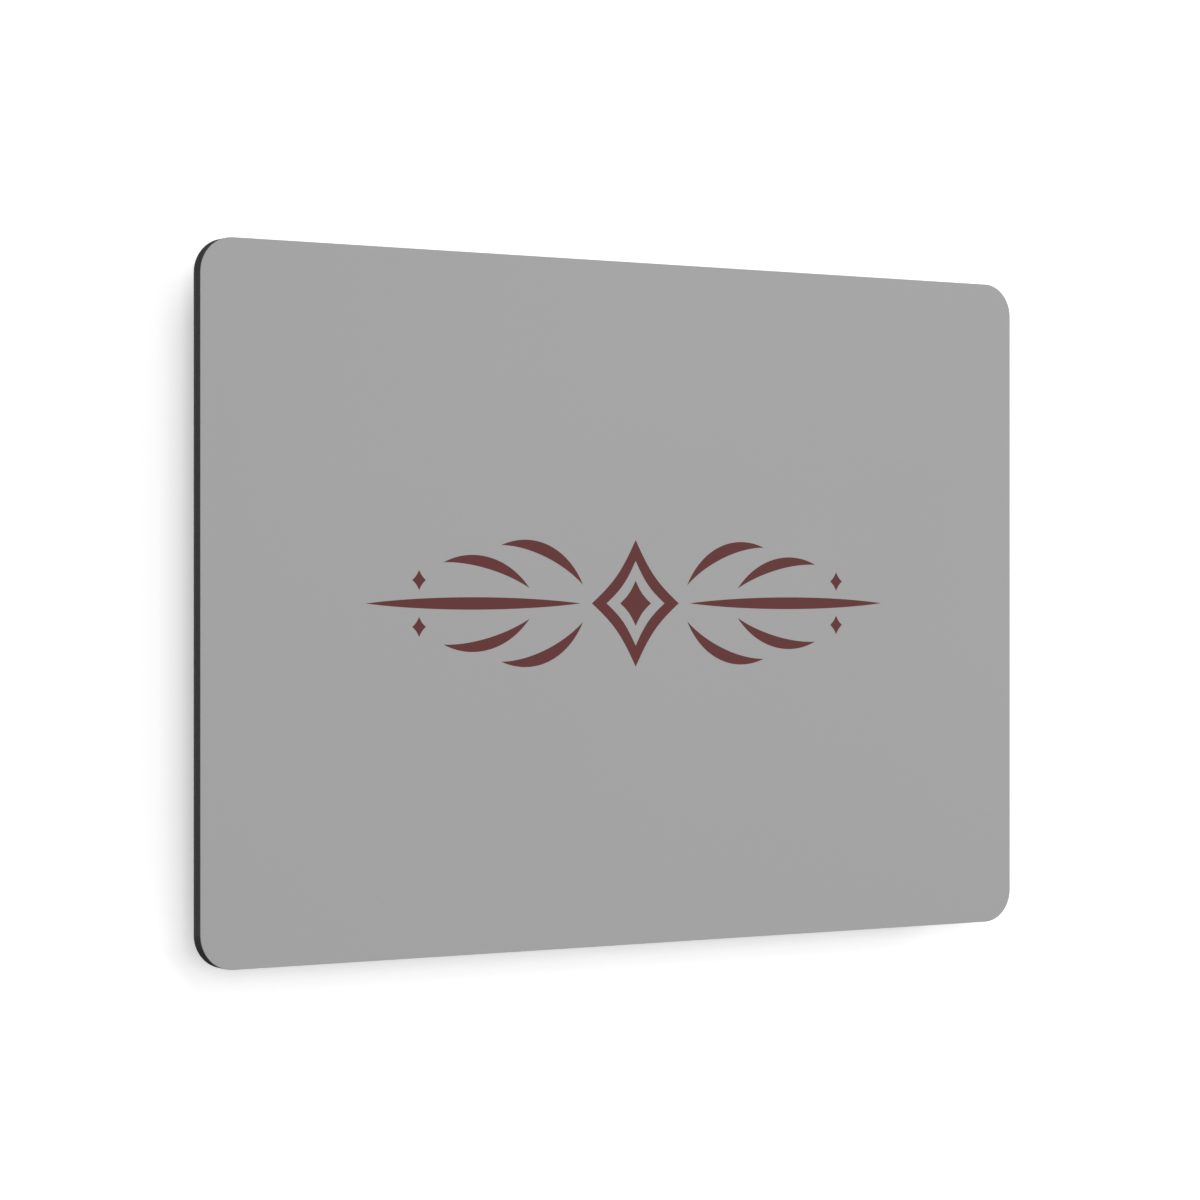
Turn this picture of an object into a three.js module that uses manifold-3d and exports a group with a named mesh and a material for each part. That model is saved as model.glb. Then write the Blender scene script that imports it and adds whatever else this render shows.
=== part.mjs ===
// A wall-hung name plate: a small printed panel that floats in front of the wall.
// Millimetres, +Z up. The wall is the plane y = 0 and the printed face looks towards -Y.
// The origin lies on the wall, at the middle of the wall rail's back face.

import * as THREE from 'three';
import { mergeVertices } from 'three/addons/utils/BufferGeometryUtils.js';
import Module from 'manifold-3d';

const wasm = await Module();
wasm.setup();

// Panel: two aluminium sheets bonded to a plastic core
const panelWidth = 177.8;
const panelHeight = 127;
const panelCornerRadius = 6.2;
const sheetThickness = 0.21;
const coreThickness = 2.48;
const glueFilm = 0.05;

// Hanging: distance from the wall, foam tape and the two hooked rails
const standOff = 12;
const tapeThickness = 1;
const railLength = 120;
const railHeight = 20;
const railWall = 2;
const lipLength = 12;
const hookClearance = 0.3;
const railInnerFillet = 0.5;
const railEdgeRounding = 0.8;
const railFootRounding = 0.4;
const guideGrooveDepth = 0.3;
const railBelowPanelTop = 12;
const railTapeMargin = 0.5;

// Rubber spacers that keep the lower part of the panel off the wall
const spacerDiameter = 16;
const spacerSideInset = 16;
const spacerBottomInset = 14;
const spacerWallRounding = 1.2;
const spacerPanelRounding = 0.4;
const spacerDraft = 0.4;
const spacerTapeMargin = 0.5;

// Countersunk wall screws
const screwDiameter = 3;
const screwRootDiameter = 2.2;
const screwNeckDiameter = 2.4;
const screwLength = 30;
const screwHeadDiameter = 5.8;
const screwHeadRim = 0.2;
const screwNeckLength = 3;
const screwTipLength = 4;
const threadPitch = 1.35;
const threadFlankStart = 0.4;
const threadCrest = 0.7;
const screwFromRailEnd = 20;
const screwClearance = 0.3;
const recessSpan = 2.9;
const recessWingWidth = 0.8;
const recessDepth = 1.3;

// Split nylon wall plugs
const plugLength = 25;
const plugWall = 0.5;
const plugBarbHeight = 0.2;
const plugBarbLength = 3;
const plugBarbNotch = 0.6;
const plugBarbRise = 0.3;
const plugCollarLength = 3;
const plugSetBack = 2.2;
const plugSlotWidth = 0.8;
const plugSlotLength = 16;

// The most of a wall that one rounded edge may take, and how far a cutter runs past its piece
const roundingShare = 0.45;
const cutterOvershoot = 1;

// Corners of a geometry that lie nearer than this are one corner of its solid
const mergeDistance = 1e-5;

// Fineness of round stretches
const cornerSegments = 9;
const filletSegments = 2;
const spacerSides = 36;
const headSides = 24;
const threadSides = 12;
const plugSides = 20;
const spacerWallSteps = 5;
const spacerPanelSteps = 3;

// Places that follow from the sizes above
const railDepth = standOff - tapeThickness;
const hookReach = (railDepth + 2 * railWall + hookClearance) / 2;
const lipTop = railHeight / 2 - railWall + lipLength;
const panelRailZ = lipTop + hookClearance + railHeight / 2;
const panelTop = panelRailZ + railHeight / 2 + railBelowPanelTop;
const panelZ = panelTop - panelHeight / 2;
const screwX = railLength / 2 - screwFromRailEnd;
const spacerX = panelWidth / 2 - spacerSideInset;
const spacerZ = panelTop - panelHeight + spacerBottomInset;

// Turns a closed geometry into a solid that can be cut and joined.
// A turned shape has folded triangles at its axis, and they are dropped.
function toSolid(geometry) {
  const bare = new THREE.BufferGeometry();
  bare.setAttribute('position', geometry.getAttribute('position'));
  bare.setIndex(geometry.getIndex());
  const merged = mergeVertices(bare, mergeDistance);
  const corners = merged.getIndex().array;
  const kept = [];
  for (let i = 0; i < corners.length; i += 3) {
    const [a, b, c] = corners.slice(i, i + 3);
    if (a !== b && b !== c && c !== a) {
      kept.push(a, b, c);
    }
  }
  const mesh = new wasm.Mesh({
    numProp: 3,
    vertProperties: merged.getAttribute('position').array,
    triVerts: new Uint32Array(kept),
  });
  return new wasm.Manifold(mesh);
}

function toGeometry(solid) {
  const mesh = solid.getMesh();
  const geometry = new THREE.BufferGeometry();
  geometry.setAttribute('position', new THREE.BufferAttribute(mesh.vertProperties, 3));
  geometry.setIndex(new THREE.BufferAttribute(mesh.triVerts, 1));
  return geometry;
}

// A closed outline through its corners, anticlockwise, each rounded by its own radius.
function roundedOutline(corners) {
  const outline = new THREE.Shape();
  corners.forEach(({ at, radius }, i) => {
    const before = corners.at(i - 1).at;
    const after = corners[(i + 1) % corners.length].at;
    if (radius > 0) {
      const back = before.clone().sub(at).normalize();
      const on = after.clone().sub(at).normalize();
      const halfAngle = Math.acos(back.dot(on)) / 2;
      const centre = back.clone().add(on).normalize().multiplyScalar(radius / Math.sin(halfAngle)).add(at);
      const reach = radius / Math.tan(halfAngle);
      const start = back.multiplyScalar(reach).add(at).sub(centre);
      const end = on.clone().multiplyScalar(reach).add(at).sub(centre);
      const turnsRight = start.cross(end) < 0;
      outline.absarc(centre.x, centre.y, radius, start.angle(), end.angle(), turnsRight);
    } else if (i === 0) {
      outline.moveTo(at.x, at.y);
    } else {
      outline.lineTo(at.x, at.y);
    }
  });
  return outline;
}

function corner(x, y, radius = 0) {
  return { at: new THREE.Vector2(x, y), radius };
}

function rectangle(width, height, radius = 0) {
  return roundedOutline([
    corner(-width / 2, -height / 2, radius),
    corner(width / 2, -height / 2, radius),
    corner(width / 2, height / 2, radius),
    corner(-width / 2, height / 2, radius),
  ]);
}

// A plate seen from the front: its outline lies in XZ, its rear face at y = 0 and its front at -thickness.
function plate(outline, thickness, curveSegments = 1) {
  const geometry = new THREE.ExtrudeGeometry(outline, {
    depth: thickness,
    bevelEnabled: false,
    curveSegments,
  });
  return geometry.rotateX(Math.PI / 2);
}

// A shape turned about the Y axis. Its profile runs from low y to high y as (radius, y).
function turned(profile, sides) {
  const points = profile.map(([radius, y]) => new THREE.Vector2(radius, y));
  return toGeometry(toSolid(new THREE.LatheGeometry(points, sides)));
}

// A quarter circle of a turned profile, from one angle to another
function profileArc(radius, centreRadius, centreY, from, to, steps) {
  const points = [];
  for (let i = 0; i <= steps; i += 1) {
    const angle = from + (to - from) * i / steps;
    points.push([centreRadius + radius * Math.cos(angle), centreY + radius * Math.sin(angle)]);
  }
  return points;
}

const finishes = {
  printedSheet: { color: 0xa3a3a3, roughness: 0.45, metalness: 0.1 },
  core: { color: 0x2e2e2e, roughness: 0.8, metalness: 0 },
  millSheet: { color: 0xb4b6b8, roughness: 0.4, metalness: 0.9 },
  rail: { color: 0xc3c5c7, roughness: 0.35, metalness: 0.95 },
  tape: { color: 0x4a4c4e, roughness: 0.9, metalness: 0 },
  rubber: { color: 0x1f1f20, roughness: 0.85, metalness: 0 },
  zinc: { color: 0xc6c7c4, roughness: 0.3, metalness: 1 },
  nylon: { color: 0x9b9c9a, roughness: 0.6, metalness: 0 },
};

function piece(name, geometry, finish) {
  const mesh = new THREE.Mesh(geometry, new THREE.MeshStandardMaterial(finish));
  mesh.name = name;
  return mesh;
}

// Panel: rear sheet, core and printed sheet, one in front of the other
function panelLayer(name, thickness, behind, finish) {
  const outline = rectangle(panelWidth, panelHeight, panelCornerRadius);
  const layer = piece(name, plate(outline, thickness, cornerSegments), finish);
  layer.position.y = -behind;
  return layer;
}

function panel() {
  const coreBack = sheetThickness + glueFilm;
  const faceBack = coreBack + coreThickness + glueFilm;
  const group = new THREE.Group();
  group.add(panelLayer('back_sheet', sheetThickness, 0, finishes.millSheet));
  group.add(panelLayer('panel_core', coreThickness, coreBack, finishes.core));
  group.add(panelLayer('face_sheet', sheetThickness, faceBack, finishes.printedSheet));
  group.position.set(0, -standOff, panelZ);
  return group;
}

// The rails are two lengths of one extrusion: a foot, a web and a hooked lip.
// Its section has the foot's flat back on the left and the lip pointing up on the right.
function railSection() {
  const foot = railHeight / 2;
  const webUnder = foot - railWall;
  const tipRounding = Math.min(railEdgeRounding, roundingShare * railWall);
  const footRounding = Math.min(railFootRounding, roundingShare * railWall);
  return roundedOutline([
    corner(0, -foot, footRounding),
    corner(railWall, -foot, footRounding),
    corner(railWall, -guideGrooveDepth),
    corner(railWall - guideGrooveDepth, 0),
    corner(railWall, guideGrooveDepth),
    corner(railWall, webUnder, railInnerFillet),
    corner(hookReach, webUnder, railEdgeRounding),
    corner(hookReach, lipTop, tipRounding),
    corner(hookReach - railWall, lipTop, tipRounding),
    corner(hookReach - railWall, foot, railInnerFillet),
    corner(0, foot, footRounding),
  ]);
}

// A length of rail with its foot's back on y = 0 and its lip pointing up, centred on x = 0
function railLengthOf(length) {
  const geometry = new THREE.ExtrudeGeometry(railSection(), {
    depth: length,
    bevelEnabled: false,
    curveSegments: filletSegments,
  });
  geometry.translate(0, 0, -length / 2);
  const intoPlace = new THREE.Matrix4().makeBasis(
    new THREE.Vector3(0, -1, 0),
    new THREE.Vector3(0, 0, 1),
    new THREE.Vector3(-1, 0, 0),
  );
  return geometry.applyMatrix4(intoPlace);
}

// The hole for a wall screw: a countersink in the foot's front face and a plain bore behind it
function screwHole() {
  const sinkRadius = screwHeadDiameter / 2 + screwClearance * Math.SQRT2;
  const boreRadius = screwDiameter / 2 + screwClearance;
  const sinkBottom = -railWall + screwHeadRim + sinkRadius - boreRadius;
  return toSolid(turned([
    [0, -railWall - cutterOvershoot],
    [sinkRadius, -railWall - cutterOvershoot],
    [sinkRadius, -railWall + screwHeadRim],
    [boreRadius, sinkBottom],
    [boreRadius, Math.max(0, sinkBottom) + cutterOvershoot],
    [0, Math.max(0, sinkBottom) + cutterOvershoot],
  ], headSides));
}

function wallRail() {
  let solid = toSolid(railLengthOf(railLength));
  for (const side of [-1, 1]) {
    solid = solid.subtract(screwHole().translate(side * screwX, 0, 0));
  }
  return piece('wall_rail', toGeometry(solid), finishes.rail);
}

// The panel's rail is the same section turned over, so that its lip points down behind the wall lip
function panelRail() {
  const rail = piece('panel_rail', railLengthOf(railLength), finishes.rail);
  rail.rotation.x = Math.PI;
  rail.position.set(0, -railDepth, panelRailZ);
  return rail;
}

function panelRailTape() {
  const outline = rectangle(railLength - 2 * railTapeMargin, railHeight - 2 * railTapeMargin);
  const tape = piece('panel_rail_tape', plate(outline, tapeThickness - 2 * glueFilm), finishes.tape);
  tape.position.set(0, -railDepth - glueFilm, panelRailZ);
  return tape;
}

// A rubber spacer: a short round block, rounded where it meets the wall and slightly tapered
function spacerBody(name) {
  const radius = spacerDiameter / 2;
  const wallRadius = radius - spacerDraft;
  const profile = [
    [0, -railDepth],
    ...profileArc(spacerPanelRounding, radius - spacerPanelRounding, -railDepth + spacerPanelRounding,
      -Math.PI / 2, 0, spacerPanelSteps),
    ...profileArc(spacerWallRounding, wallRadius - spacerWallRounding, -spacerWallRounding,
      0, Math.PI / 2, spacerWallSteps),
    [0, 0],
  ];
  return piece(name, turned(profile, spacerSides), finishes.rubber);
}

function spacerTape(name) {
  const radius = spacerDiameter / 2 - spacerTapeMargin;
  const front = -standOff + glueFilm;
  const back = -railDepth - glueFilm;
  const profile = [[0, front], [radius, front], [radius, back], [0, back]];
  return piece(name, turned(profile, spacerSides), finishes.tape);
}

// The threaded shank: a turned rod whose profile climbs one pitch in each turn.
// Each turn has two rows on the root and one on the crest, and the thread fades out at both ends.
function threadedShank() {
  const start = -railWall + screwNeckLength;
  const end = -railWall + screwLength;
  const turns = Math.ceil((end - start) / threadPitch) + 1;
  const rows = [];
  for (let turn = 0; turn < turns; turn += 1) {
    for (const [share, crest] of [[0, 0], [threadFlankStart, 0], [threadCrest, 1]]) {
      rows.push({ y: start + (turn - 1 + share) * threadPitch, crest });
    }
  }
  const insideHead = -railWall + screwNeckLength / 2;
  const profile = [[0, insideHead], [1, insideHead], ...rows.map((row) => [1, row.y]), [0, end]];
  const points = profile.map(([radius, y]) => new THREE.Vector2(radius, y));
  const geometry = new THREE.LatheGeometry(points, threadSides);
  const position = geometry.getAttribute('position');
  const rootRadius = screwRootDiameter / 2;
  const crestHeight = (screwDiameter - screwRootDiameter) / 2;
  for (let i = 0; i < position.count; i += 1) {
    const column = Math.floor(i / points.length);
    const row = rows[(i % points.length) - 2];
    const climbed = row ? row.y + threadPitch * column / threadSides : position.getY(i);
    const y = THREE.MathUtils.clamp(climbed, insideHead, end);
    const inThread = row ? THREE.MathUtils.clamp(y, start, end) : y;
    const taper = Math.min(1, (end - inThread) / screwTipLength);
    const fade = Math.min(1, (inThread - start) / threadPitch, taper);
    const crest = row ? row.crest * crestHeight * fade : 0;
    const radius = rootRadius * taper + crest;
    position.setXYZ(i, position.getX(i) * radius, inThread, position.getZ(i) * radius);
  }
  return toSolid(geometry);
}

// The cross recess in a screw head
function crossRecess() {
  const wing = recessWingWidth / 2;
  const span = recessSpan / 2;
  const outline = roundedOutline([
    corner(-wing, -span), corner(wing, -span), corner(wing, -wing),
    corner(span, -wing), corner(span, wing), corner(wing, wing),
    corner(wing, span), corner(-wing, span), corner(-wing, wing),
    corner(-span, wing), corner(-span, -wing), corner(-wing, -wing),
  ]);
  const cutter = plate(outline, recessDepth + cutterOvershoot);
  cutter.translate(0, -railWall + recessDepth, 0);
  return toSolid(cutter);
}

function wallScrew(name) {
  const headRadius = screwHeadDiameter / 2;
  const neckRadius = screwNeckDiameter / 2;
  const underRim = -railWall + screwHeadRim;
  const head = toSolid(turned([
    [0, -railWall],
    [headRadius, -railWall],
    [headRadius, underRim],
    [neckRadius, underRim + headRadius - neckRadius],
    [neckRadius, -railWall + screwNeckLength],
    [0, -railWall + screwNeckLength],
  ], headSides));
  const solid = head.add(threadedShank()).subtract(crossRecess());
  return piece(name, toGeometry(solid), finishes.zinc);
}

// A wall plug: a barbed sleeve that lies in the wall round the screw, split over its far part
function wallPlug(name) {
  const boreRadius = screwDiameter / 2 + screwClearance;
  const bodyRadius = boreRadius + plugWall;
  const barbRadius = bodyRadius + plugBarbHeight;
  const near = plugSetBack;
  const far = near + plugLength;
  const profile = [[boreRadius, near], [barbRadius, near], [barbRadius, near + plugCollarLength]];
  const barbs = Math.floor((plugLength - plugCollarLength) / plugBarbLength);
  for (let i = 0; i < barbs; i += 1) {
    const foot = near + plugCollarLength + i * plugBarbLength;
    profile.push([bodyRadius, foot + plugBarbNotch]);
    profile.push([barbRadius, foot + plugBarbNotch + plugBarbRise]);
  }
  profile.push([bodyRadius, far], [boreRadius, far], [boreRadius, near]);
  const slotRun = 2 * (barbRadius + cutterOvershoot);
  const slot = new THREE.BoxGeometry(slotRun, plugSlotLength + cutterOvershoot, plugSlotWidth);
  slot.translate(0, far + (cutterOvershoot - plugSlotLength) / 2, 0);
  const solid = toSolid(turned(profile, plugSides)).subtract(toSolid(slot));
  return piece(name, toGeometry(solid), finishes.nylon);
}

// The whole plate on its wall
const namePlate = new THREE.Group();
namePlate.add(panel(), panelRailTape(), panelRail(), wallRail());
for (const [side, sign] of [['left', -1], ['right', 1]]) {
  const spacer = new THREE.Group();
  spacer.add(spacerTape(`${side}_spacer_tape`), spacerBody(`${side}_wall_spacer`));
  spacer.position.set(sign * spacerX, 0, spacerZ);
  const fixing = new THREE.Group();
  fixing.add(wallScrew(`${side}_wall_screw`), wallPlug(`${side}_wall_plug`));
  fixing.position.set(sign * screwX, 0, 0);
  namePlate.add(spacer, fixing);
}

export default namePlate;
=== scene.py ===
"""The looks of a wall-hung name plate: a printed composite panel that floats on a hooked rail."""

import math

import bmesh
import bpy
from mathutils import Matrix, Vector


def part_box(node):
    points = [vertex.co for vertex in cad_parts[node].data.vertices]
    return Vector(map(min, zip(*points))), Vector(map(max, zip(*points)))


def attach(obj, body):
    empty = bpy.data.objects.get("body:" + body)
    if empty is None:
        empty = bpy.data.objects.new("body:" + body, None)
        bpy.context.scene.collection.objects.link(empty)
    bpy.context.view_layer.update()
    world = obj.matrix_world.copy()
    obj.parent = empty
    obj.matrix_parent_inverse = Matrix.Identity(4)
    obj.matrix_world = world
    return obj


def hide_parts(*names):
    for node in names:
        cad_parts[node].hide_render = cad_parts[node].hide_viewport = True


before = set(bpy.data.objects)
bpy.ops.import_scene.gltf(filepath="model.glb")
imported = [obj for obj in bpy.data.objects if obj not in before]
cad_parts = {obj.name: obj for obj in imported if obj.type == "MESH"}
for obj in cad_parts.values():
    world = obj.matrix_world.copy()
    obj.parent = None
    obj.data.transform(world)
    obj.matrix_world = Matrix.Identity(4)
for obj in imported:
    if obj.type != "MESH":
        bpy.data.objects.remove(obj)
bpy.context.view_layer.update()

# Sizes are in metres, written in millimetres
MM = 0.001
X, Y, Z = range(3)

# Places nearer to each other than this count as one, and corners nearer than WELD are merged
SAME_PLACE = MM / 1000
WELD = MM / 10000

# The frame's two bodies
PANEL = "name_plate"
WALL = "wall_mount"

# The panel's face, and the rounding of the panel's corners
FACE_LOW, FACE_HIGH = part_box("face_sheet")
PANEL_MIDDLE = (FACE_LOW + FACE_HIGH) / 2
CORNER_RADIUS = 6.2 * MM


class Value:
    """An output in a node tree that adds up, multiplies and compares like a number."""

    def __init__(self, shading, output):
        self.shading = shading
        self.output = output

    def __add__(self, other):
        return self.shading.maths("ADD", self, other)

    def __radd__(self, other):
        return self.shading.maths("ADD", other, self)

    def __sub__(self, other):
        return self.shading.maths("SUBTRACT", self, other)

    def __rsub__(self, other):
        return self.shading.maths("SUBTRACT", other, self)

    def __mul__(self, other):
        return self.shading.maths("MULTIPLY", self, other)

    def __rmul__(self, other):
        return self.shading.maths("MULTIPLY", other, self)

    def __truediv__(self, other):
        return self.shading.maths("DIVIDE", self, other)

    def __pow__(self, other):
        return self.shading.maths("POWER", self, other)

    def __abs__(self):
        return self.shading.maths("ABSOLUTE", self)

    def above(self, limit):
        return self.shading.maths("GREATER_THAN", self, limit)

    def most(self, other):
        return self.shading.maths("MAXIMUM", self, other)

    def sine(self):
        return self.shading.maths("SINE", self)


class Shading:
    """A node tree of a material or of the world."""

    def __init__(self, owner):
        owner.use_nodes = True
        self.owner = owner
        self.tree = owner.node_tree
        self.tree.nodes.clear()

    def node(self, kind, settings=None, sockets=None, output=0):
        """Adds one node: its settings first, then the values or links of its sockets."""
        made = self.tree.nodes.new(kind)
        for name, value in (settings or {}).items():
            setattr(made, name, value)
        for name, value in (sockets or {}).items():
            if isinstance(value, Value):
                self.tree.links.new(value.output, made.inputs[name])
            else:
                made.inputs[name].default_value = value
        return Value(self, made.outputs[output]) if made.outputs else None

    def maths(self, operation, *values):
        return self.node("ShaderNodeMath", {"operation": operation}, dict(enumerate(values)))

    def place(self):
        return self.node("ShaderNodeTexCoord", output="Object")

    def axes(self, vector):
        """The three parts of a vector."""
        parts = self.node("ShaderNodeSeparateXYZ", sockets={"Vector": vector})
        return [Value(self, output) for output in parts.output.node.outputs]

    def facing(self):
        """The three parts of the direction that the surface faces."""
        return self.axes(self.node("ShaderNodeTexCoord", output="Normal"))

    def stretched(self, scale):
        """Object coordinates, finer along the axes with a larger scale."""
        return self.node("ShaderNodeMapping", sockets={"Vector": self.place(), "Scale": scale})

    def noise(self, vector, scale, detail=2.0, roughness=0.5):
        return self.node("ShaderNodeTexNoise", sockets={
            "Vector": vector, "Scale": scale, "Detail": detail, "Roughness": roughness})

    def cells(self, vector, scale):
        """The distance to the nearest of many scattered points."""
        return self.node("ShaderNodeTexVoronoi", sockets={"Vector": vector, "Scale": scale})

    def blend(self, factor, first, second):
        """A mix of two colours, each written out or blended already."""
        first, second = [tone if isinstance(tone, Value) else (*tone, 1) for tone in (first, second)]
        # The node's sockets for colours come after those for numbers and vectors
        sockets = {0: factor, 6: first, 7: second}
        return self.node("ShaderNodeMix", {"data_type": "RGBA"}, sockets, output=2)

    def relief(self, height, depth):
        return self.node("ShaderNodeBump", sockets={
            "Height": height, "Strength": 1.0, "Distance": depth})

    def surface(self, **sockets):
        """Shows a principled shader, whose sockets are named in lower case."""
        named = {name.replace("_", " ").title().replace("Ior", "IOR"): value
                 for name, value in sockets.items()}
        self.show(self.node("ShaderNodeBsdfPrincipled", sockets=named))

    def show(self, shader):
        in_world = self.owner == bpy.context.scene.world
        kind = "ShaderNodeOutputWorld" if in_world else "ShaderNodeOutputMaterial"
        self.node(kind, sockets={"Surface": shader})


def finish_of(name):
    return Shading(bpy.data.materials.new(name))


# Finishes of the panel

def grey_print():
    """Satin grey print on the face: an even tone over a very fine coating texture."""
    finish = finish_of("grey_print")
    place = finish.place()
    grain = finish.noise(place, 2600, detail=3)
    cloud = finish.noise(place, 22)
    finish.surface(
        base_color=finish.blend(grain, (0.3085, 0.3085, 0.3085), (0.3295, 0.3295, 0.3295)),
        roughness=0.4 + 0.06 * cloud + 0.04 * grain,
        specular_ior_level=0.35,
        normal=finish.relief(grain, 0.004 * MM),
    )
    return finish.owner


def maroon_print():
    """The darker ink of the ornament, a little glossier where it lies thick."""
    finish = finish_of("maroon_print")
    place = finish.place()
    grain = finish.noise(place, 2600, detail=3)
    finish.surface(
        base_color=finish.blend(grain, (0.1, 0.0235, 0.023), (0.117, 0.0305, 0.03)),
        roughness=0.38 + 0.08 * grain,
        specular_ior_level=0.11,
        normal=finish.relief(grain, 0.005 * MM),
    )
    return finish.owner


def cutter_marks(finish, pitch):
    """Fine upright ripples that a router leaves round a rounded edge."""
    x, _, z = finish.axes(finish.place())
    run = abs(x) - abs(z - PANEL_MIDDLE.z)
    wander = finish.noise(finish.place(), 240, detail=1)
    return ((run * (2 * math.pi / pitch)) + 5 * wander).sine()


def painted_corner_shade(finish):
    """Painted shade for the rounded corners of the panel's cut edge: 0 on the straights, 1 in the middle
    of a corner.
    """
    x, _, z = finish.axes(finish.place())
    half = (FACE_HIGH - FACE_LOW) / 2
    beyond_x = abs(x) - (half.x - CORNER_RADIUS)
    beyond_z = abs(z - PANEL_MIDDLE.z) - (half.z - CORNER_RADIUS)
    return (2 * beyond_x.most(0) * beyond_z.most(0)) ** 0.5 / CORNER_RADIUS


def cut_sheet_edge():
    """The cut edges of the thin aluminium sheets: dull, with painted shade darkening them in the
    corners.
    """
    finish = finish_of("cut_sheet_edge")
    marks = cutter_marks(finish, 0.4 * MM)
    painted_shade = painted_corner_shade(finish)
    bare = finish.blend(marks * 0.5 + 0.5, (0.19, 0.19, 0.194), (0.27, 0.27, 0.275))
    finish.surface(
        # Painted shade: the sheet edges go darker and less metallic in the rounded corners
        base_color=finish.blend(0.6 * painted_shade, bare, (0.03, 0.03, 0.03)),
        metallic=0.7 - 0.5 * painted_shade,
        roughness=0.52 + 0.06 * marks,
        normal=finish.relief(marks, 0.004 * MM),
    )
    return finish.owner


def dark_core():
    """Black plastic core, matte, finely rippled where the cutter ran, with painted shade darkening it in
    the corners.
    """
    finish = finish_of("dark_core")
    marks = cutter_marks(finish, 0.45 * MM)
    grain = finish.noise(finish.place(), 5200, detail=3)
    plain = finish.blend(grain, (0.0425, 0.0425, 0.0432), (0.0665, 0.0665, 0.0672))
    finish.surface(
        # Painted shade: the base colour goes darker in the rounded corners
        base_color=finish.blend(0.4 * painted_corner_shade(finish), plain, (0, 0, 0)),
        roughness=0.7 + 0.08 * grain + 0.04 * marks,
        specular_ior_level=0.015,
        normal=finish.relief(marks + 0.7 * grain, 0.006 * MM),
    )
    return finish.owner


def rear_lacquer():
    """The lacquered back of the panel: aluminium with the long fine lines of rolling."""
    finish = finish_of("rear_lacquer")
    lines = finish.noise(finish.stretched((9, 60, 4200)), 1, detail=4, roughness=0.6)
    cloud = finish.noise(finish.place(), 26, detail=3)
    finish.surface(
        base_color=finish.blend(lines, (0.46, 0.47, 0.48), (0.62, 0.63, 0.64)),
        metallic=0.85,
        roughness=0.34 + 0.14 * lines + 0.08 * cloud,
        normal=finish.relief(lines, 0.004 * MM),
    )
    return finish.owner


# Finishes of the hanger

def extruded_aluminium():
    """Rails: die lines along their length, and curved saw marks on the two cut ends."""
    finish = finish_of("extruded_aluminium")
    lines = finish.noise(finish.stretched((5, 2600, 2600)), 1, detail=4, roughness=0.65)
    _, y, z = finish.axes(finish.place())
    saw_drop, saw_pitch = 60 * MM, 0.35 * MM
    sweep = ((y * y) + ((z + saw_drop) * (z + saw_drop))) ** 0.5
    cuts = (sweep * (2 * math.pi / saw_pitch) + 4 * finish.noise(finish.place(), 300)).sine()
    end = abs(finish.facing()[0]).above(0.7)
    height = lines * (1 - end) + 1.6 * cuts * end
    finish.surface(
        base_color=finish.blend(lines, (0.56, 0.57, 0.58), (0.68, 0.69, 0.70)),
        metallic=0.95,
        roughness=0.31 + 0.16 * lines + 0.08 * end,
        normal=finish.relief(height, 0.006 * MM),
    )
    return finish.owner


def black_rubber():
    """Moulded rubber with a fine dull skin."""
    finish = finish_of("black_rubber")
    place = finish.place()
    skin = finish.noise(place, 1500, detail=4, roughness=0.6)
    bloom = finish.noise(place, 160, detail=3)
    finish.surface(
        base_color=finish.blend(bloom, (0.012, 0.012, 0.0125), (0.034, 0.034, 0.034)),
        roughness=0.66 + 0.14 * skin,
        specular_ior_level=0.4,
        normal=finish.relief(skin, 0.02 * MM),
    )
    return finish.owner


def foam_tape():
    """Dark acrylic foam with the pores that show along its cut edges."""
    finish = finish_of("foam_tape")
    place = finish.place()
    pores = finish.cells(place, 4200)
    cloud = finish.noise(place, 700, detail=3)
    finish.surface(
        base_color=finish.blend(cloud, (0.06, 0.062, 0.066), (0.12, 0.123, 0.128)),
        roughness=0.86,
        normal=finish.relief(pores, 0.05 * MM),
    )
    return finish.owner


def zinc():
    """Bright zinc plating with a faint warm and cool cast."""
    finish = finish_of("zinc")
    place = finish.place()
    cast = finish.noise(place, 320)
    grain = finish.noise(place, 3800, detail=3)
    finish.surface(
        base_color=finish.blend(cast, (0.60, 0.62, 0.66), (0.70, 0.67, 0.58)),
        metallic=1.0,
        roughness=0.22 + 0.12 * grain,
        normal=finish.relief(grain, 0.006 * MM),
    )
    return finish.owner


def grey_nylon():
    """Moulded nylon, waxy and slightly mottled."""
    finish = finish_of("grey_nylon")
    place = finish.place()
    cloud = finish.noise(place, 420, detail=3)
    grain = finish.noise(place, 3000)
    finish.surface(
        base_color=finish.blend(cloud, (0.27, 0.28, 0.285), (0.35, 0.355, 0.35)),
        roughness=0.44 + 0.12 * grain,
        normal=finish.relief(grain, 0.01 * MM),
    )
    return finish.owner


# Making and seating pieces

def linked(name, data):
    """A new object that stands in the scene."""
    made = bpy.data.objects.new(name, data)
    bpy.context.scene.collection.objects.link(made)
    return made


def mesh_of(name, shape):
    """The mesh of a finished shape, which is used up."""
    mesh = bpy.data.meshes.new(name)
    shape.to_mesh(mesh)
    shape.free()
    return mesh


def seat(name, shape, materials, body, node):
    """Makes an object of a shape, shades its round parts smooth and lets it stand for a CAD node."""
    crease = math.radians(17)
    mesh = mesh_of(name, shape)
    for material in materials:
        mesh.materials.append(material)
    mesh.shade_smooth()
    mesh.set_sharp_from_angle(angle=crease)
    piece = linked(name, mesh)
    level = piece.modifiers.new("level_flats", "WEIGHTED_NORMAL")
    level.keep_sharp = True
    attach(piece, body)
    if node:
        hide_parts(node)


def bevel(shape, edges, offset, segments):
    bmesh.ops.bevel(shape, geom=edges, offset=offset, offset_type="OFFSET", segments=segments,
                    profile=0.5, affect="EDGES", material=-1, clamp_overlap=True)


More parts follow.
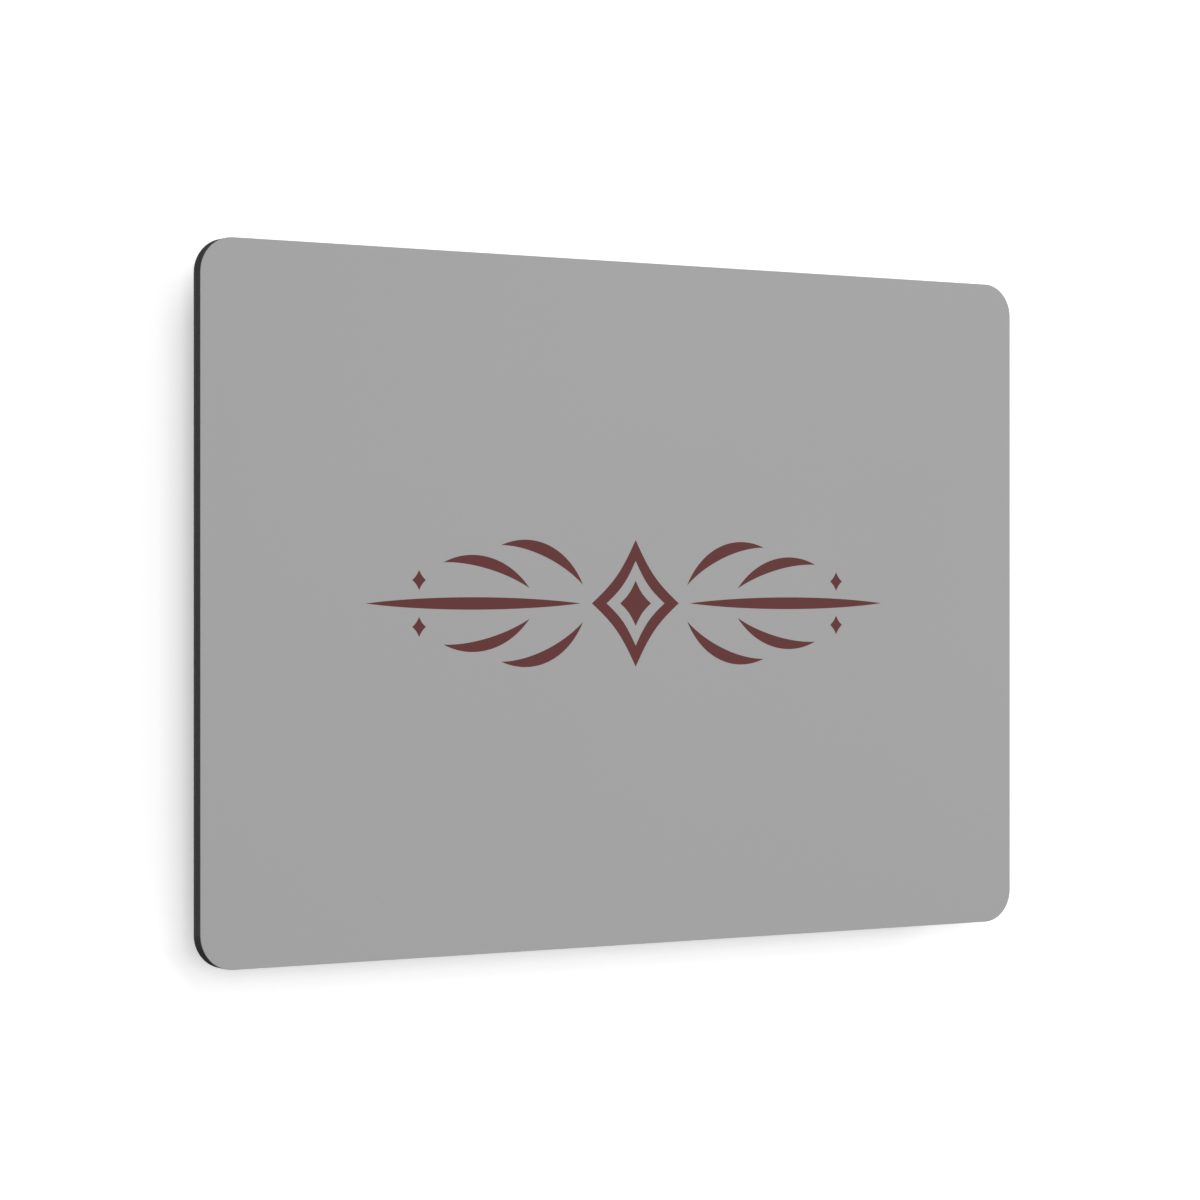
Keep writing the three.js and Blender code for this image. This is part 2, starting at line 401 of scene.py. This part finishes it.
def block(low, high):
    """A bare block between two corners, to be shaped further."""
    shape = bmesh.new()
    bmesh.ops.create_cube(shape, size=1)
    size = high - low
    bmesh.ops.scale(shape, vec=size, verts=shape.verts)
    bmesh.ops.translate(shape, vec=(low + high) / 2, verts=shape.verts)
    return shape


def runs_along(edge, axis):
    run = edge.verts[0].co - edge.verts[1].co
    return abs(run[axis]) > 0.99 * run.length


def lies_at(edge, axis, place):
    return all(abs(vert.co[axis] - place) < SAME_PLACE for vert in edge.verts)


def sharp_edges(shape):
    limit = math.radians(40)
    return [edge for edge in shape.edges if edge.is_manifold and edge.calc_face_angle() > limit]


def rounded_sheet(low, high, corner_radius):
    """A flat sheet with rounded corners."""
    shape = block(low, high)
    through = [edge for edge in shape.edges if runs_along(edge, Y)]
    bevel(shape, through, corner_radius, 24)
    return shape


def spun(profile, centre, steps=72):
    """A shape turned about a line along Y through centre, from a profile of (radius, y)."""
    shape = bmesh.new()
    verts = [shape.verts.new((centre.x + radius, y, centre.z)) for radius, y in profile]
    edges = [shape.edges.new(pair) for pair in zip(verts, verts[1:])]
    bmesh.ops.spin(shape, geom=verts + edges, cent=(centre.x, 0, centre.z), axis=(0, 1, 0),
                   angle=2 * math.pi, steps=steps, use_merge=True, use_duplicate=False)
    bmesh.ops.remove_doubles(shape, verts=shape.verts, dist=SAME_PLACE)
    bmesh.ops.recalc_face_normals(shape, faces=shape.faces)
    return shape


def arc(centre_radius, centre_y, radius, start, end, steps=6):
    """Points of a rounded stretch in a profile, between two angles in degrees."""
    turns = [math.radians(start + (end - start) * step / steps) for step in range(steps + 1)]
    return [(centre_radius + radius * math.cos(turn), centre_y + radius * math.sin(turn))
            for turn in turns]


def set_down(shape):
    """A passing object that holds a shape."""
    return linked("passing", mesh_of("passing", shape))


def combined(shape, added, removed):
    """A closed shape with other closed shapes melted into it, and then others cut out of it."""
    blank = set_down(shape)
    steps = [("UNION", set_down(other)) for other in added]
    steps += [("DIFFERENCE", set_down(other)) for other in removed]
    for operation, tool in steps:
        step = blank.modifiers.new("step", "BOOLEAN")
        step.operation = operation
        step.solver = "EXACT"
        step.object = tool
    bpy.context.view_layer.update()
    result = bmesh.new()
    result.from_mesh(bpy.data.meshes.new_from_object(
        blank.evaluated_get(bpy.context.evaluated_depsgraph_get())))
    for passing in [blank] + [tool for _, tool in steps]:
        bpy.data.objects.remove(passing)
    bmesh.ops.remove_doubles(result, verts=result.verts, dist=WELD)
    return result


# Panel

FACE_ARRIS = 0.06 * MM
INK = 0.012 * MM


def face_sheet():
    """The printed sheet: its front is grey print and the rest is bare aluminium."""
    front = FACE_LOW + Vector((0, INK, 0))
    shape = rounded_sheet(front, FACE_HIGH, CORNER_RADIUS)
    rim = [edge for edge in sharp_edges(shape) if lies_at(edge, Y, front.y)]
    bevel(shape, rim, FACE_ARRIS, 2)
    for face in shape.faces:
        face.material_index = 0 if face.normal.y < -0.9 else 1
    finishes = [grey_print(), EDGE_METAL]
    seat("printed_face_sheet", shape, finishes, PANEL, "face_sheet")


def core():
    """The plastic core, whose cut edge is the dark line round the plate."""
    low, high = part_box("panel_core")
    shape = rounded_sheet(low, high, CORNER_RADIUS)
    seat("core_slab", shape, [dark_core()], PANEL, "panel_core")


def back_sheet():
    """The rear sheet: its back is lacquered and the rest is bare aluminium."""
    low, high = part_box("back_sheet")
    shape = rounded_sheet(low, high, CORNER_RADIUS)
    rim = [edge for edge in sharp_edges(shape) if lies_at(edge, Y, high.y)]
    bevel(shape, rim, FACE_ARRIS, 2)
    for face in shape.faces:
        face.material_index = 0 if face.normal.y > 0.9 else 1
    seat("rear_sheet", shape, [rear_lacquer(), EDGE_METAL], PANEL, "back_sheet")


# Ornament: a traditional divider, printed in the middle of the face

def closed_bends(curve, bends):
    """Adds a closed outline to a flat curve. A bend is (handle before, point, handle after), in mm."""
    spline = curve.splines.new("BEZIER")
    spline.bezier_points.add(len(bends) - 1)
    for point, (before, at, after) in zip(spline.bezier_points, bends):
        point.handle_left_type = point.handle_right_type = "FREE"
        point.co, point.handle_left, point.handle_right = [
            Vector((place.x, place.y, 0)) * MM for place in (at, before, after)]
    spline.use_cyclic_u = True
    spline.resolution_u = 24


def leaf(curve, side, up, tail, tip, outer, inner):
    """Adds a pointed leaf, whose edges bow out by outer and inner from the line from tail to tip."""
    start, end = Vector(tail), Vector(tip)
    chord = end - start
    across = Vector((-chord.y, chord.x)).normalized()
    near, far = start + 0.3 * chord, start + 0.72 * chord
    bends = ((near + inner * across, start, near + outer * across),
             (far + outer * across, end, far + inner * across))
    mirrored = [[Vector((side * place.x, up * place.y)) for place in bend] for bend in bends]
    closed_bends(curve, mirrored)


def lozenge(curve, x, y, half_width, half_height):
    """Adds a lozenge whose four sides curve in towards its middle."""
    handle, hollow = 0.4, 0.82
    middle = Vector((x, y))
    points = [middle + Vector(tip) for tip in (
        (-half_width, 0), (0, -half_height), (half_width, 0), (0, half_height))]
    bends = []
    for turn, point in enumerate(points):
        before, after = points[turn - 1], points[(turn + 1) % 4]
        bends.append([middle + (point.lerp(before, handle) - middle) * hollow, point,
                      middle + (point.lerp(after, handle) - middle) * hollow])
    closed_bends(curve, bends)


def ornament():
    """The divider: lozenges in its middle, and on each side a rule, two beads and four leaves."""
    bead_x, bead_y = 46, 4.2
    curve = bpy.data.curves.new("divider_outline", "CURVE")
    curve.dimensions = "2D"
    curve.fill_mode = "BOTH"
    curve.extrude = INK / 2
    for half_width, half_height in ((9.6, 11.8), (6.4, 7.9), (3.4, 4.2)):
        lozenge(curve, 0, 0, half_width, half_height)
    for side in (-1, 1):
        leaf(curve, side, 1, tail=(12, 0), tip=(56.8, 0), outer=1.5, inner=-1.5)
        lozenge(curve, side * bead_x, bead_y, 1.4, 1.8)
        lozenge(curve, side * bead_x, -bead_y, 1.4, 1.8)
        for up in (-1, 1):
            leaf(curve, side, up, tail=(11.5, 3.4), tip=(29, 10.6), outer=5.2, inner=2.2)
            leaf(curve, side, up, tail=(23, 2.8), tip=(41, 7.4), outer=4.4, inner=1.6)
    outline = bpy.data.objects.new("divider_outline", curve)
    mesh = bpy.data.meshes.new_from_object(outline)
    bpy.data.objects.remove(outline)
    shape = bmesh.new()
    shape.from_mesh(mesh)
    bmesh.ops.remove_doubles(shape, verts=shape.verts, dist=WELD)
    bmesh.ops.rotate(shape, matrix=Matrix.Rotation(math.pi / 2, 3, "X"), verts=shape.verts)
    bmesh.ops.translate(shape, vec=(0, FACE_LOW.y + INK / 2, PANEL_MIDDLE.z), verts=shape.verts)
    bmesh.ops.recalc_face_normals(shape, faces=shape.faces)
    seat("printed_divider", shape, [maroon_print()], PANEL, None)


# Hanger. The wall's face is at y = 0, and the screws' heads end level with the foot of the wall rail

RAIL_WALL = 2 * MM
RAIL_HALF = 10 * MM
SCREW_X = 40 * MM
SCREW_TOP, SCREW_POINT = -RAIL_WALL, 28 * MM
SCREW_TIP = 4 * MM
TAPE_BULGE = 0.1 * MM

# The bore for a screw, in the rail and in the plug
BORE = 1.8 * MM


def along(shape, y, z):
    """The long edges of a rail at one place of its section."""
    return [edge for edge in shape.edges
            if runs_along(edge, X) and lies_at(edge, Y, y) and lies_at(edge, Z, z)]


def hooked_rail(foot_back, middle, hook_way):
    """An extruded rail: a flat foot with a guide groove, a short web and a lip that hooks.

    foot_back is the plane of the foot's back, middle the height of its middle. The lip points up where
    hook_way is 1 and down where it is -1, and the foot faces the other rail.
    """
    reach, wall, half, lip = 7.65 * MM, RAIL_WALL, RAIL_HALF, 20 * MM
    groove, saw_arris = 0.3 * MM, 0.1 * MM
    foot_round, fillet, lip_round = 0.4 * MM, 0.5 * MM, 0.8 * MM
    section = [
        (0, -half, foot_round), (wall, -half, foot_round),
        (wall, -groove, 0), (wall - groove, 0, 0), (wall, groove, 0),
        (wall, half - wall, fillet), (reach, half - wall, lip_round),
        (reach, lip, lip_round), (reach - wall, lip, lip_round),
        (reach - wall, half, fillet), (0, half, foot_round),
    ]
    placed = [(foot_back - hook_way * out, middle + hook_way * up, rounding)
              for out, up, rounding in section]
    low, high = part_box("wall_rail")
    shape = bmesh.new()
    face = shape.faces.new([shape.verts.new((low.x, y, z)) for y, z, _ in placed])
    grown = bmesh.ops.extrude_face_region(shape, geom=[face], use_keep_orig=True)
    moved = [part for part in grown["geom"] if isinstance(part, bmesh.types.BMVert)]
    bmesh.ops.translate(shape, vec=(high.x - low.x, 0, 0), verts=moved)
    bmesh.ops.recalc_face_normals(shape, faces=shape.faces)
    for y, z, rounding in placed:
        if rounding:
            bevel(shape, along(shape, y, z), rounding, 6)
    ends = [edge for edge in sharp_edges(shape)
            if lies_at(edge, X, low.x) or lies_at(edge, X, high.x)]
    bevel(shape, ends, saw_arris, 2)
    return shape


def screw_hole(x):
    """The cutter for a countersunk hole with its bore."""
    rim, rim_depth, past = 3.32 * MM, 0.2 * MM, MM
    top, sink = SCREW_TOP - past, SCREW_TOP + rim_depth
    profile = [(0, top), (rim, top), (rim, sink), (BORE, sink + rim - BORE), (BORE, past), (0, past)]
    return spun(profile, Vector((x, 0, 0)))


def wall_rail():
    """The rail on the wall, which hooks up and is held by two countersunk screws."""
    shape = combined(hooked_rail(0, 0, 1), [], [screw_hole(x) for x in (-SCREW_X, SCREW_X)])
    seat("rail_on_wall", shape, [RAIL_METAL], WALL, "wall_rail")


def panel_rail():
    """The rail on the panel, which hooks down over the rail on the wall."""
    low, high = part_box("panel_rail")
    shape = hooked_rail(low.y, high.z - RAIL_HALF, -1)
    seat("rail_on_panel", shape, [RAIL_METAL], PANEL, "panel_rail")


def spacer(name, node):
    """A moulded rubber spacer: rounded and dimpled at the wall, with a moulding lip round its waist."""
    low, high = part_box(node)
    centre = (low + high) / 2
    radius = (high.x - low.x) / 2
    draft, wall_round, panel_round = 0.4 * MM, 1.2 * MM, 0.4 * MM
    slope = draft / (high.y - low.y)
    waist, flash = low.y + 3.2 * MM, 0.045 * MM
    moulding_lip = ((-0.07 * MM, 0), (-0.03 * MM, flash), (0.03 * MM, flash), (0.07 * MM, 0))
    profile = [(0, low.y)]
    profile += arc(radius - panel_round, low.y + panel_round, panel_round, -90, 0)
    profile += [(radius - slope * (waist + step - low.y) + lip, waist + step)
                for step, lip in moulding_lip]
    profile += arc(radius - draft - wall_round, high.y - wall_round, wall_round, 0, 90, 10)
    profile += [(1.7 * MM, high.y), (1.5 * MM, high.y - 0.1 * MM), (0, high.y - 0.12 * MM)]
    shape = spun(profile, centre, 96)
    seat(name, shape, [RUBBER], PANEL, node)


def tape_disc(name, node):
    """A disc of foam tape that bulges a little where it is squeezed."""
    low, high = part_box(node)
    centre = (low + high) / 2
    radius = (high.x - low.x) / 2
    thickness, steps = high.y - low.y, 8
    shares = [step / steps for step in range(steps + 1)]
    rim = [(radius - TAPE_BULGE + TAPE_BULGE * math.sin(math.pi * share), low.y + thickness * share)
           for share in shares]
    shape = spun([(0, low.y)] + rim + [(0, high.y)], centre, 96)
    seat(name, shape, [TAPE], PANEL, node)


def tape_strip():
    """The strip of foam tape behind the panel's rail, its long edges bulged a little."""
    low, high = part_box("panel_rail_tape")
    shape = block(low, high)
    across = [edge for edge in shape.edges if runs_along(edge, Y)]
    bmesh.ops.subdivide_edges(shape, edges=across, cuts=5, use_grid_fill=True)
    middle = (low + high) / 2
    half = (high.y - low.y) / 2
    for vert in shape.verts:
        squeezed = TAPE_BULGE * ((vert.co.y - middle.y) / half) ** 2
        vert.co.x -= math.copysign(squeezed, vert.co.x - middle.x)
        vert.co.z -= math.copysign(squeezed, vert.co.z - middle.z)
    seat("rail_tape", shape, [TAPE], PANEL, "panel_rail_tape")


def cross_recess(x):
    """The cutter for a cross recess whose wings narrow towards its bottom."""
    depth, span, wing, narrowing, proud = 1.3 * MM, 1.45 * MM, 0.4 * MM, 0.5, 0.01 * MM
    corners = [(-wing, -span), (wing, -span), (wing, -wing), (span, -wing), (span, wing), (wing, wing),
               (wing, span), (-wing, span), (-wing, wing), (-span, wing), (-span, -wing), (-wing, -wing)]
    shape = bmesh.new()
    mouth = shape.faces.new([shape.verts.new((x + right, SCREW_TOP, up)) for right, up in corners])
    grown = bmesh.ops.extrude_face_region(shape, geom=[mouth], use_keep_orig=True)
    floor = [part for part in grown["geom"] if isinstance(part, bmesh.types.BMVert)]
    bmesh.ops.translate(shape, vec=(0, depth, 0), verts=floor)
    about_x = Matrix.Translation((-x, 0, 0))
    bmesh.ops.scale(shape, vec=(narrowing, 1, narrowing), space=about_x, verts=floor)
    raised = [vert for vert in shape.verts if vert not in floor]
    bmesh.ops.translate(shape, vec=(0, -proud, 0), verts=raised)
    bmesh.ops.recalc_face_normals(shape, faces=shape.faces)
    return shape


def thread(x):
    """A right-handed screw thread, a tapered ridge wound round the shank and run out at both ends."""
    foot, crest, pitch = 0.95 * MM, 1.5 * MM, 1.35 * MM
    first, turns, steps = 1.54 * MM, 19, 40
    last = first + turns * pitch
    run_in, run_out = 1.5 * pitch, 4 * MM
    shape = bmesh.new()
    # The ridge's section: how far out, and how far along, as a share of the pitch
    section = [(foot, -0.3), (crest, -0.035), (crest, 0.035), (foot, 0.3)]
    verts = [shape.verts.new((x + radius, first + pitch * share, 0)) for radius, share in section]
    edges = [shape.edges.new(pair) for pair in zip(verts, verts[1:] + verts[:1])]
    bmesh.ops.spin(shape, geom=verts + edges, cent=(x, 0, 0), axis=(0, 1, 0), dvec=(0, pitch / steps, 0),
                   angle=2 * math.pi * turns, steps=turns * steps, use_merge=False, use_duplicate=False)
    bmesh.ops.holes_fill(shape, edges=[edge for edge in shape.edges if edge.is_boundary], sides=0)
    bmesh.ops.recalc_face_normals(shape, faces=shape.faces)
    for vert in shape.verts:
        out = Vector((vert.co.x - x, vert.co.z))
        taper = min(1, (SCREW_POINT - vert.co.y) / SCREW_TIP)
        rise = max(0, min(1, (vert.co.y - first) / run_in, (last - vert.co.y) / run_out))
        out *= (foot * taper + (out.length - foot) * rise) / out.length
        vert.co.x, vert.co.z = x + out.x, out.y
    return shape


def wall_screw(hand, x):
    """A countersunk screw, plated in zinc: head, cross recess, neck, threaded shank and point."""
    head, rim, neck, root, blunt = 2.9 * MM, 0.06 * MM, 1.2 * MM, 1.1 * MM, 0.1 * MM
    profile = [(0, SCREW_TOP)] + arc(head - rim, SCREW_TOP + rim, rim, -90, 0, 3)
    profile += [(head, -1.8 * MM), (neck + 0.15 * MM, -0.25 * MM), (neck, -0.05 * MM), (neck, 0.9 * MM),
                (root, 1.15 * MM), (root, SCREW_POINT - SCREW_TIP), (blunt, SCREW_POINT - 0.2 * MM),
                (0, SCREW_POINT)]
    shape = combined(spun(profile, Vector((x, 0, 0))), [thread(x)], [cross_recess(x)])
    seat(f"{hand}_screw", shape, [ZINC], WALL, f"{hand}_wall_screw")


def wall_plug(hand, x):
    """A nylon plug: a collar, rows of barbs and a bore, split from its far end."""
    body, barb, rim = 2.3 * MM, 2.5 * MM, 0.12 * MM
    near, far = 2.2 * MM, 27.2 * MM
    collar, row_length, rows = 3 * MM, 3 * MM, 7
    profile = [(BORE + rim, near)] + arc(barb - rim, near + rim, rim, -90, 0, 3)
    profile += [(barb, near + collar)]
    for row in range(rows):
        foot = near + collar + row * row_length
        profile += [(body + 0.03 * MM, foot + 0.35 * MM), (body, foot + 0.6 * MM),
                    (barb - 0.02 * MM, foot + 0.88 * MM), (barb, foot + 0.95 * MM)]
    profile += arc(body - rim, far - rim, rim, 0, 90, 3) + [(BORE, far), (BORE, near + rim)]
    shape = spun(profile + profile[:1], Vector((x, 0, 0)), 96)
    split, half_gap, half_width, past = 16 * MM, 0.4 * MM, 4 * MM, MM
    slot = block(Vector((x - half_width, far - split, -half_gap)),
                 Vector((x + half_width, far + past, half_gap)))
    closed_end = [edge for edge in slot.edges if runs_along(edge, X) and edge.verts[0].co.y < far]
    bevel(slot, closed_end, half_gap - 0.01 * MM, 5)
    shape = combined(shape, [], [slot])
    seat(f"{hand}_plug", shape, [NYLON], WALL, f"{hand}_wall_plug")


# Stage, light and camera

FLOOR = -1.35
STAGE_REACH = 2.0

# The painted wall stands a little behind the rail's back, so that the two don't share a plane
WALL_Y = 0.05 * MM

# The paint, how far a glow of its own lifts it to the photograph's white, and the light of the room
WALL_TONE = 0.95
WALL_LIFT = 0.356
ROOM_LIGHT = 0.295


def one_sided_paint():
    """Pale paint of the wall and the floor, which a camera in front of them sees.

    Seen from behind it is clear, and light for the plate's back comes through it, so the plate can be
    looked at from all sides. Light that has bounced twice ends on it and doesn't fill the shadow.
    """
    paint = finish_of("pale_paint")
    rays = paint.node("ShaderNodeLightPath").output.node.outputs
    front = 1 - paint.node("ShaderNodeNewGeometry", output="Backfacing")
    seen = Value(paint, rays["Is Camera Ray"]) * front
    spent = Value(paint, rays["Ray Depth"]).above(1.5) * front
    matte = paint.node("ShaderNodeBsdfDiffuse", sockets={"Color": (WALL_TONE, WALL_TONE, WALL_TONE, 1)})
    glow = paint.node("ShaderNodeEmission", sockets={"Color": (1, 1, 1, 1), "Strength": WALL_LIFT})
    lit = paint.node("ShaderNodeAddShader", sockets={0: matte, 1: glow})
    clear = paint.node("ShaderNodeBsdfTransparent")
    dark = paint.node("ShaderNodeBsdfDiffuse", sockets={"Color": (0, 0, 0, 1)})
    shown = paint.node("ShaderNodeMixShader", sockets={0: seen, 1: clear, 2: lit})
    paint.show(paint.node("ShaderNodeMixShader", sockets={0: spent, 1: shown, 2: dark}))
    return paint.owner


def stage_plane(name, corner, one_side, other_side, material):
    """A flat rectangle of the stage, from one corner along two sides."""
    shape = bmesh.new()
    corner, one_side, other_side = Vector(corner), Vector(one_side), Vector(other_side)
    corners = (corner, corner + one_side, corner + one_side + other_side, corner + other_side)
    shape.faces.new([shape.verts.new(place) for place in corners])
    mesh = mesh_of(name, shape)
    mesh.materials.append(material)
    plane = linked(name, mesh)


def sky():
    """An even pale room: soft for light, white for what looks at it."""
    world = bpy.data.worlds.new("pale_room")
    bpy.context.scene.world = world
    room = Shading(world)
    rays = room.node("ShaderNodeLightPath").output.node.outputs
    seen = Value(room, rays["Is Camera Ray"])
    seen = seen.most(Value(room, rays["Is Glossy Ray"])).most(Value(room, rays["Is Transmission Ray"]))
    soft = room.node("ShaderNodeBackground", sockets={"Color": (1, 1, 1, 1), "Strength": ROOM_LIGHT})
    white = room.node("ShaderNodeBackground", sockets={"Color": (1, 1, 1, 1), "Strength": 1.0})
    room.show(room.node("ShaderNodeMixShader", sockets={0: seen, 1: soft, 2: white}))


def broad_lamp(name, azimuth, elevation, spread, strength):
    """A far, very broad lamp, given by the direction that it lies in as seen from the plate."""
    light = bpy.data.lights.new(name, "SUN")
    light.angle = math.radians(spread)
    light.energy = strength
    lamp = linked(name, light)
    turn, rise = math.radians(azimuth), math.radians(elevation)
    towards = Vector((math.sin(turn) * math.cos(rise), -math.cos(turn) * math.cos(rise), math.sin(rise)))
    lamp.rotation_euler = towards.to_track_quat("Z", "Y").to_euler()


def camera():
    """The photograph's view: 32 degrees to the left of the plate, level with its middle."""
    image_width, focal_length_in_pixels, sensor = 1200, 3365.9, 36.0
    turn = math.radians(-31.947)
    from_face = Vector((-337.4, -528.5, 0.62)) * MM
    lens = bpy.data.cameras.new("camera")
    lens.sensor_width = sensor
    lens.lens = focal_length_in_pixels * sensor / image_width
    lens.clip_start, lens.clip_end = 0.01, 20
    viewer = linked("camera", lens)
    viewer.location = Vector((PANEL_MIDDLE.x, FACE_LOW.y, PANEL_MIDDLE.z)) + from_face
    viewer.rotation_euler = (math.pi / 2, 0, turn)
    bpy.context.scene.camera = viewer


# The build: finishes that several pieces share, the pieces, and then the stage

EDGE_METAL = cut_sheet_edge()
RAIL_METAL = extruded_aluminium()
RUBBER = black_rubber()
TAPE = foam_tape()
ZINC = zinc()
NYLON = grey_nylon()

face_sheet()
core()
back_sheet()
ornament()
tape_strip()
panel_rail()
wall_rail()
for hand, x in (("left", -SCREW_X), ("right", SCREW_X)):
    spacer(f"{hand}_rubber_spacer", f"{hand}_wall_spacer")
    tape_disc(f"{hand}_tape_disc", f"{hand}_spacer_tape")
    wall_screw(hand, x)
    wall_plug(hand, x)

paint = one_sided_paint()
width = (2 * STAGE_REACH, 0, 0)
stage_plane("wall", (-STAGE_REACH, WALL_Y, FLOOR), width, (0, 0, STAGE_REACH - FLOOR), paint)
stage_plane("floor", (-STAGE_REACH, -2 * STAGE_REACH, FLOOR), width, (0, 4 * STAGE_REACH, 0), paint)
sky()
broad_lamp("key", azimuth=-23.4, elevation=5.4, spread=21, strength=0.907)
broad_lamp("upper", azimuth=-9, elevation=33, spread=27, strength=0.825)
broad_lamp("side", azimuth=36, elevation=8.6, spread=32, strength=0.85)
broad_lamp("rear_fill", azimuth=205, elevation=35, spread=80, strength=1.5)
camera()

bpy.context.scene.view_settings.view_transform = "Standard"
